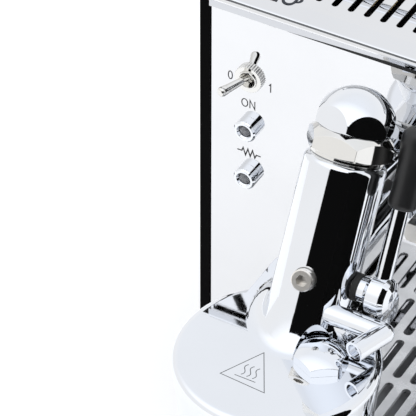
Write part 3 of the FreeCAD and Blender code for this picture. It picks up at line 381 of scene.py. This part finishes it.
def mitred(points, width, closed):
    """The two edges of a band of that width along a flat line of points."""
    left, right = [], []
    count = len(points)
    for k, point in enumerate(points):
        before = points[k - 1] if closed or k > 0 else None
        after = points[(k + 1) % count] if closed or k < count - 1 else None
        into = (point - before).normalized() if before is not None else (after - point).normalized()
        out = (after - point).normalized() if after is not None else into
        across = Vector((-(into + out).y, (into + out).x)).normalized()
        reach = min(width / 2 / max(0.3, across.dot(Vector((-out.y, out.x)))), 1.6 * width)
        left.append(point + across * reach)
        right.append(point - across * reach)
    return left, right


def band(bm, points, width, depth, place, closed=False):
    """A thin raised band along flat points, set on the surface that place describes."""
    left, right = mitred([Vector(p) for p in points], width, closed)
    rows = []
    for level in (0.0, depth):
        rows.append([bm.verts.new(place @ Vector((p.x, p.y, level))) for p in left])
        rows.append([bm.verts.new(place @ Vector((p.x, p.y, level))) for p in right])
    low_left, low_right, top_left, top_right = rows
    count = len(points)
    for k in range(count if closed else count - 1):
        n = (k + 1) % count
        sides = ((top_right, top_left), (top_left, low_left), (low_left, low_right), (low_right, top_right))
        for a, b in sides:
            bm.faces.new((a[k], a[n], b[n], b[k]))
    if not closed:
        for k in (0, count - 1):
            bm.faces.new((low_left[k], top_left[k], top_right[k], low_right[k]))


def ellipse(x, y, rx, ry, start=0.0, sweep=360.0, steps=40):
    """Points of an ellipse or of a part of one, in degrees."""
    count = steps if sweep >= 360 else steps + 1
    angles = [math.radians(start + sweep * k / steps) for k in range(count)]
    return [(x + rx * math.cos(a), y + ry * math.sin(a)) for a in angles]


def printed(name, strokes, width, place, material, body="machine", depth=0.03 * MM):
    """Several printed strokes as one piece; each stroke is (points in mm, closed)."""
    bm = bmesh.new()
    for points, closed in strokes:
        band(bm, [(x * MM, y * MM) for x, y in points], width, depth, place, closed)
    return from_mesh(name, bm, material, body)


def make_panel_marks():
    """0, 1, ON and the heating zig-zag beside the switch and between the lamps."""
    zero = [(ellipse(0, 0, 1.35, 2.85), True)]
    one = [([(-0.75, 1.7), (0.4, 3.0), (0.4, -3.0)], False)]
    on = [(ellipse(-2.5, 0, 2.0, 2.75), True), ([(1.0, -2.9), (1.0, 2.9), (4.3, -2.9), (4.3, 2.9)], False)]
    teeth = [(-5.0, 0.0)]
    for k in range(6):
        teeth.append((-4.0 + 1.6 * k, 2.5 if k % 2 == 0 else -2.5))
    zigzag = [([(-8.0, 0.0)] + teeth + [(5.0, 0.0), (8.0, 0.0)], False)]
    beside = -3.0 * MM
    under_switch = NUT_LOW.z + 0.36 * (BEZEL_HIGH.z - NUT_LOW.z) - 3.5 * MM
    between = (BEZEL_LOW.z + BEZEL_HIGH.z) / 2 - 2.0 * MM
    for name, strokes, x, z, width in (
            ("mark_off", zero, SWITCH.x - 13.2 * MM, SWITCH.z + beside, 0.72 * MM),
            ("mark_one", one, SWITCH.x + 13.5 * MM, SWITCH.z + beside, 0.72 * MM),
            ("mark_on", on, SWITCH.x - 0.8 * MM, under_switch, 0.72 * MM),
            ("mark_heating", zigzag, SWITCH.x, between, 0.85 * MM)):
        printed(name, strokes, width, facing("front", x, PANEL_FACE - OFF, z), INK)


def make_top_mark():
    """A plain cup sign with a line beside it, printed on the top plate left of the vents."""
    x, y = PANEL_LOW.x / MM + 44.9, COVER_LOW.y / MM + 12.4
    cup = [(x - 3.6, y + 10)] + ellipse(x, y + 3.4, 3.6, 3.6, 180, 180, 14) + [(x + 3.6, y + 10)]
    handle = ellipse(x + 3.8, y + 6.2, 2.6, 2.6, -80, 160, 10)
    line = [(x - 11.0, y - 0.2), (x - 5.9, y - 0.2)]
    place = Matrix.Translation((0, 0, COVER_HIGH.z - OFF))
    printed("top_mark", [(cup, False), (handle, False), (line, False)], 1.9 * MM, place, NAVY)


def make_bell_mark():
    """A hot-surface sign etched on the bell's top face: a triangle, rising waves and a line."""
    corners = [(-19.6, -29.9), (9.3, -31.7), (-6.6, -3.1)]
    centre = Vector((sum(x for x, _ in corners) / 3, sum(y for _, y in corners) / 3))
    strokes = [(corners, True)]
    for shift in (-3.6, 0.0, 3.6):
        wave = [(centre.x + shift + 1.1 * math.sin(k * 0.63), centre.y - 3.4 + 0.92 * k) for k in range(11)]
        strokes.append((wave, False))
    strokes.append(([(centre.x - 6.6, centre.y - 5.2), (centre.x + 6.6, centre.y - 5.2)], False))
    place = Matrix.Translation((BELL.x, BELL.y, BELL.z - OFF))
    printed("bell_mark", strokes, 0.50 * MM, place, ETCH_AND_PAINTED_REFLECTION)


def prism(bm, outline, place, depth):
    """Push a flat outline out of the surface that place describes."""
    low = [bm.verts.new(place @ Vector((x, y, 0))) for x, y in outline]
    high = [bm.verts.new(place @ Vector((x, y, depth))) for x, y in outline]
    bm.faces.new(low)
    bm.faces.new(high)
    for k in range(len(outline)):
        n = (k + 1) % len(outline)
        bm.faces.new((low[k], low[n], high[n], high[k]))


def rectangle(x0, x1, y0, y1):
    return [(x0, y0), (x1, y0), (x1, y1), (x0, y1)]


def make_lip():
    """Duller, darker plating on the top plate's lip as painted shade, a dark band painted along its bend for
    the bend's dark reflection, and a painted shadow along its lower edge.
    """
    left, right = COVER_LOW.x + 0.3 * MM, COVER_HIGH.x - 0.3 * MM
    # the lip's face is covered in the darker plating: painted shade
    bm = bmesh.new()
    place = facing("front", 0, COVER_LOW.y - OFF, 0)
    prism(bm, rectangle(left, right, COVER_LOW.z + 0.2 * MM, COVER_HIGH.z - 4.8 * MM), place, 0.04 * MM)
    from_mesh("lip_face", bm, SHADED_LIP, "machine")
    # a dark band painted along the bend's curve: painted reflection of the bend
    bm = bmesh.new()
    bend = 3.6 * MM
    centre = Vector((0, COVER_LOW.y + bend, COVER_HIGH.z - 1.0 * MM - bend))
    rows = []
    for degrees in (36, 42, 48, 54):
        a = math.radians(degrees)
        for r in (bend, bend + 0.03 * MM):
            y, z = centre.y - r * math.cos(a), centre.z + r * math.sin(a)
            rows.append([bm.verts.new((x, y, z)) for x in (left, right)])
    inner, outer = rows[0::2], rows[1::2]
    loop = outer + inner[::-1]
    for k in range(len(loop)):
        a, b = loop[k], loop[(k + 1) % len(loop)]
        bm.faces.new((a[0], a[1], b[1], b[0]))
    for end in (0, 1):
        bm.faces.new([row[end] for row in loop])
    from_mesh("lip_bend_painted_reflection", bm, ETCH_AND_PAINTED_REFLECTION, "machine")
    # a dark strip painted along the lip's lower edge, wider to the right: painted shadow
    bm = bmesh.new()
    low = COVER_LOW.z + 0.05 * MM
    outline = [(-66 * MM, low), (right, low), (right, low + 3.2 * MM), (0, low + 2.6 * MM)]
    prism(bm, outline, facing("front", 0, COVER_LOW.y - 0.06 * MM, 0), 0.03 * MM)
    from_mesh("lip_painted_shadow", bm, PAINTED_SHADE, "machine")


DIGITS = {
    "0": [(ellipse(0, 0, 0.6, 1.0, steps=16), True)],
    "1": [([(-0.35, 0.55), (0.1, 1.0), (0.1, -1.0)], False)],
    "2": [(ellipse(0, 0.42, 0.58, 0.58, 160, -200, 8) + [(-0.6, -1.0), (0.65, -1.0)], False)],
    "3": [(ellipse(-0.1, 0.48, 0.6, 0.52, 140, -230, 8), False),
          (ellipse(-0.1, -0.45, 0.65, 0.56, 90, -230, 8), False)],
    "4": [([(0.3, -1.0), (0.3, 1.0), (-0.65, -0.35), (0.65, -0.35)], False)],
}


def make_dial_marks():
    """Scale, figures and warning arc of the boiler pressure gauge."""
    reach = DIAL_R / MM
    place = facing("front", DIAL.x, DIAL.y - 0.005 * MM, DIAL.z)
    fine, strong = [], []
    for k in range(41):
        a = math.radians(-130 + 260 * k / 40)
        strokes, length = (strong, 2.8) if k % 10 == 0 else (fine, 1.9 if k % 5 == 0 else 1.3)
        way = Vector((math.sin(a), math.cos(a)))
        inner, outer = way * (reach - 1.6 - length), way * (reach - 1.6)
        strokes.append(([tuple(inner), tuple(outer)], False))
    printed("dial_ticks", fine, 0.18 * MM, place, INK, depth=0.02 * MM)
    figures = []
    for k in range(5):
        a = math.radians(-130 + 65 * k)
        x, y = (reach - 6.6) * math.sin(a), (reach - 6.6) * math.cos(a)
        for points, closed in DIGITS[str(k)]:
            figures.append(([(x + 1.15 * px, y + 1.15 * py) for px, py in points], closed))
    printed("dial_figures", strong + figures, 0.36 * MM, place, INK, depth=0.02 * MM)
    warning = [(ellipse(0, 0, reach - 1.1, reach - 1.1, 10, -50, 20), False)]
    printed("dial_warning", warning, 0.7 * MM, place, RED, depth=0.02 * MM)


CAP_STEPS = 48
CAP_PROFILE = ((9.2, 0.0), (9.2, 0.9), (8.7, 1.35), (7.6, 1.35), (7.4, 1.2))   # radius, height in mm
CAP_SUNK = 0.9 * MM            # how far the cap sits in the knob


def make_knob_caps():
    """Bright caps on the two taps, with a plain steam or water sign."""
    waves = []
    for x in (-2.8, 0, 2.8):
        waves.append(([(x + math.sin(k * 0.7), -3.6 + 0.6 * k) for k in range(13)], False))
    drop = [(0, 4.4)] + ellipse(0, -1.2, 2.9, 2.9, 35, -250, 18)
    signs = {"steam": waves, "water": [(drop, True)]}
    for name, (low, high) in KNOBS.items():
        centre = Vector(((low.x + high.x) / 2, low.y, (low.z + high.z) / 2))
        bm = bmesh.new()
        place = facing("front", centre.x, centre.y + CAP_SUNK, centre.z)
        rings = []
        for r, h in CAP_PROFILE:
            circle = ellipse(0, 0, r, r, steps=CAP_STEPS)
            rings.append([bm.verts.new(place @ Vector((x * MM, y * MM, h * MM))) for x, y in circle])
        for a, b in zip(rings, rings[1:]):
            for k in range(CAP_STEPS):
                n = (k + 1) % CAP_STEPS
                bm.faces.new((a[k], a[n], b[n], b[k])).smooth = True
        bm.faces.new(rings[0])
        bm.faces.new(rings[-1])
        from_mesh(name + "_knob_cap", bm, CHROME, name + "_tap")
        front = facing("front", centre.x, centre.y + CAP_SUNK - CAP_PROFILE[-1][1] * MM + OFF, centre.z)
        printed(name + "_knob_sign", signs[name], 0.55 * MM, front, INK, body=name + "_tap")


def make_rear_details():
    """Blank rating plate, earth sign and painted shade of the screw recesses on the back; level lines on the
    tank.
    """
    back = facing("back", 0, REAR_FACE + OFF, 0)
    bm = bmesh.new()
    prism(bm, rectangle(-50 * MM, 20 * MM, 70 * MM, 106 * MM), back, 0.3 * MM)
    from_mesh("rating_plate", bm, BRUSHED, "machine")
    lines = []
    for k in range(5):
        lines.append(([(-45, 99 - 6 * k), (12 - 9 * (k % 3), 99 - 6 * k)], False))
    on_plate = facing("back", 0, REAR_FACE + 0.30 * MM, 0)
    printed("rating_lines", lines, 0.9 * MM, on_plate, ETCH_AND_PAINTED_REFLECTION)
    earth = [([(0, 4), (0, 0)], False), ([(-4, 0), (4, 0)], False), ([(-2.6, -1.6), (2.6, -1.6)], False),
             ([(-1.2, -3.2), (1.2, -3.2)], False)]
    shifted = [([(x + 42, y + 64) for x, y in points], closed) for points, closed in earth]
    printed("earth_sign", shifted, 0.6 * MM, back, INK)
    screws_low, screws_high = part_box("casing_screws")
    # dark crosses painted on the screw heads where the recesses' shade falls
    recess_shade = []
    for x in (screws_low.x + 4 * MM, screws_high.x - 4 * MM):
        for z in (screws_low.z + 4 * MM, (screws_low.z + screws_high.z) / 2, screws_high.z - 4 * MM):
            for turn in (20, 110):
                a = math.radians(turn)
                dx, dz = 1.9 * math.cos(a), 1.9 * math.sin(a)
                recess_shade.append(([(-x / MM - dx, z / MM - dz), (-x / MM + dx, z / MM + dz)], False))
    heads = facing("back", 0, screws_high.y + 0.005 * MM, 0)
    printed("screw_recess_shade", recess_shade, 0.7 * MM, heads, PAINTED_SHADE, depth=0.02 * MM)
    marks = []
    for k in range(9):
        z = TANK_LOW.z / MM + 40 + 28 * k
        marks.append(([(60, z), (60 + (16 if k % 4 == 0 else 9), z)], False))
    tank_front = facing("front", 0, TANK_LOW.y - OFF, 0)
    printed("tank_marks", marks, 0.8 * MM, tank_front, INK, body="tank")


def make_lid_hinges():
    """Two slim plastic straps on the tank's back wall, each with the barrel that the lid turns about."""
    joints = frame["record"]["behaviour"]["joints"]
    hinge = Vector(next(joint["pos_m"] for joint in joints if joint["name"] == "lid_hinge"))
    clearance, thick, half_width, drop, barrel_r = 0.15 * MM, 1.1 * MM, 6.0 * MM, 22.0 * MM, 0.9 * MM
    wall = facing("back", 0, TANK_HIGH.y + clearance, 0)
    along_x = Matrix(((0, 0, 1), (1, 0, 0), (0, 1, 0))).to_4x4()
    for name, x in (("lid_hinge_left", -55 * MM), ("lid_hinge_right", 55 * MM)):
        bm = bmesh.new()
        low = hinge.z - drop
        strap = ellipse(-x, low, half_width, half_width, 180, 180, 16)
        strap += [(-x + half_width, hinge.z - 0.3 * MM), (-x - half_width, hinge.z - 0.3 * MM)]
        prism(bm, strap, wall, thick)
        for rivet_z in (low, low + 10.0 * MM):
            head = facing("back", 0, TANK_HIGH.y + clearance + thick - 0.05 * MM, 0)
            prism(bm, ellipse(-x, rivet_z, 2.0 * MM, 2.0 * MM, steps=20), head, 0.4 * MM)
        centre = Matrix.Translation((x - half_width, TANK_HIGH.y + clearance + barrel_r, hinge.z - 0.2 * MM))
        prism(bm, ellipse(0, 0, barrel_r, barrel_r, steps=20), centre @ along_x, 2 * half_width)
        from_mesh(name, bm, PLASTIC, "tank")


def card(name, corners):
    """A flat black card that only reflections see."""
    mesh = bpy.data.meshes.new(name)
    mesh.from_pydata(corners, [], [tuple(range(len(corners)))])
    made, _, shader = surface(name, Roughness=0.9)
    shader.inputs["Base Color"].default_value = (0.004, 0.004, 0.004, 1)
    shader.inputs["Specular IOR Level"].default_value = 0.0
    mesh.materials.append(made)
    flat = bpy.data.objects.new(name, mesh)
    bpy.context.scene.collection.objects.link(flat)
    flat.visible_camera = flat.visible_diffuse = flat.visible_shadow = flat.visible_transmission = False


def make_cards():
    """A tall card beside the machine, and a slim leaning strip high in front of the panel's left end."""
    card("card", [(CARD_X, CARD_Y[0], CARD_Z[0]), (CARD_X, CARD_Y[1], CARD_Z[0]),
                  (CARD_X, CARD_Y[1], CARD_Z[1]), (CARD_X, CARD_Y[0], CARD_Z[1])])
    middle = Vector((COVER_LOW.x + STRIP_ASIDE, PANEL_FACE - STRIP_OUT, COVER_HIGH.z + STRIP_UP))
    lean = Matrix.Rotation(math.radians(STRIP_LEAN), 3, "Y")
    x, z = STRIP_WIDTH / 2, STRIP_LONG / 2
    corners = [(-x, 0, -z), (x, 0, -z), (x, 0, z), (-x, 0, z)]
    card("strip_card", [middle + lean @ Vector(corner) for corner in corners])


def floor_material():
    made, g, shader = surface("floor", Roughness=0.6)
    cloud = g.noise(3.0, 3.0)
    g.feed(shader.inputs["Base Color"], g.mix(cloud, (0.80, 0.80, 0.80), (0.82, 0.82, 0.82)))
    shader.inputs["Specular IOR Level"].default_value = 0.0
    shader.inputs["Emission Color"].default_value = (1, 1, 1, 1)
    shader.inputs["Emission Strength"].default_value = FLOOR_GLOW
    return made


def make_studio():
    """A round pale floor, an even white room with an unlit side, and one soft overhead lamp."""
    bm = bmesh.new()
    bmesh.ops.create_circle(bm, cap_ends=True, segments=128, radius=FLOOR_R)
    mesh = bpy.data.meshes.new("floor")
    bm.to_mesh(mesh)
    bm.free()
    mesh.materials.append(floor_material())
    floor = bpy.data.objects.new("floor", mesh)
    bpy.context.scene.collection.objects.link(floor)

    world = bpy.data.worlds.new("studio")
    world.use_nodes = True
    bpy.context.scene.world = world
    g = Graph(world.node_tree)
    place = g.node("ShaderNodeTexCoord").outputs["Generated"]
    split = g.node("ShaderNodeSeparateXYZ", {0: place}).outputs
    degrees = math.degrees(1)
    azimuth = g.math("MULTIPLY", g.math("ARCTAN2", split[0], g.math("MULTIPLY", split[1], -1)), degrees)
    elevation = g.math("MULTIPLY", g.math("ARCSINE", split[2]), degrees)

    def patch(limits, around):
        """1 inside a window of the room's directions."""
        turned = g.math("WRAP", azimuth, 0.0)
        turned.node.inputs[1].default_value = around + 180
        turned.node.inputs[2].default_value = around - 180
        inside = 1.0
        for value, (low, high) in ((turned, limits[:2]), (elevation, limits[2:])):
            rise = g.remap(value, low - EDGE, low + EDGE, smooth=True)
            fall = g.remap(value, high - EDGE, high + EDGE, 1.0, 0.0, smooth=True)
            inside = g.math("MULTIPLY", g.math("MULTIPLY", rise, fall), inside)
        return inside

    front = g.remap(split[1], 0.25, -0.25, *FRONT_SHARE)
    level = g.math("MULTIPLY", g.remap(elevation, *HORIZON), g.math("SUBTRACT", front, 1.0))
    tint = g.mix(g.remap(elevation, *TINT_RISE), WHITE, SKY)
    bright = g.math("ADD", level, 1.0)
    ground = g.node("ShaderNodeVectorMath", {0: tint, "Scale": bright}, operation="SCALE").outputs[0]
    ground = g.mix(g.math("MULTIPLY", patch(DARK_BACK, 180.0), BAND_SHARE), ground, GREY_BAND)
    ground = g.mix(patch(DARK_SIDE, 0.0), ground, UNLIT)
    seen = g.node("ShaderNodeLightPath").outputs["Is Camera Ray"]
    colour = g.mix(seen, ground, WHITE)
    background = g.node("ShaderNodeBackground", {"Color": colour, "Strength": 1.0})
    output = g.node("ShaderNodeOutputWorld")
    g.tree.links.new(background.outputs[0], output.inputs[0])

    lamp = bpy.data.lights.new("overhead", "AREA")
    lamp.shape, lamp.energy = "RECTANGLE", LAMP_POWER
    lamp.size, lamp.size_y = LAMP_SIZE
    overhead = bpy.data.objects.new("overhead", lamp)
    overhead.location = LAMP_PLACE
    overhead.rotation_euler = (Vector(LAMP_AIM) - overhead.location).to_track_quat("-Z", "Y").to_euler()
    overhead.visible_camera = False
    overhead.visible_glossy = False
    bpy.context.scene.collection.objects.link(overhead)
    bpy.context.scene.view_settings.view_transform = "Standard"


make_camera()
make_studio()
finish_nodes()
make_cards()
make_lip()
make_panel_marks()
make_top_mark()
make_bell_mark()
make_dial_marks()
make_knob_caps()
make_rear_details()
make_lid_hinges()
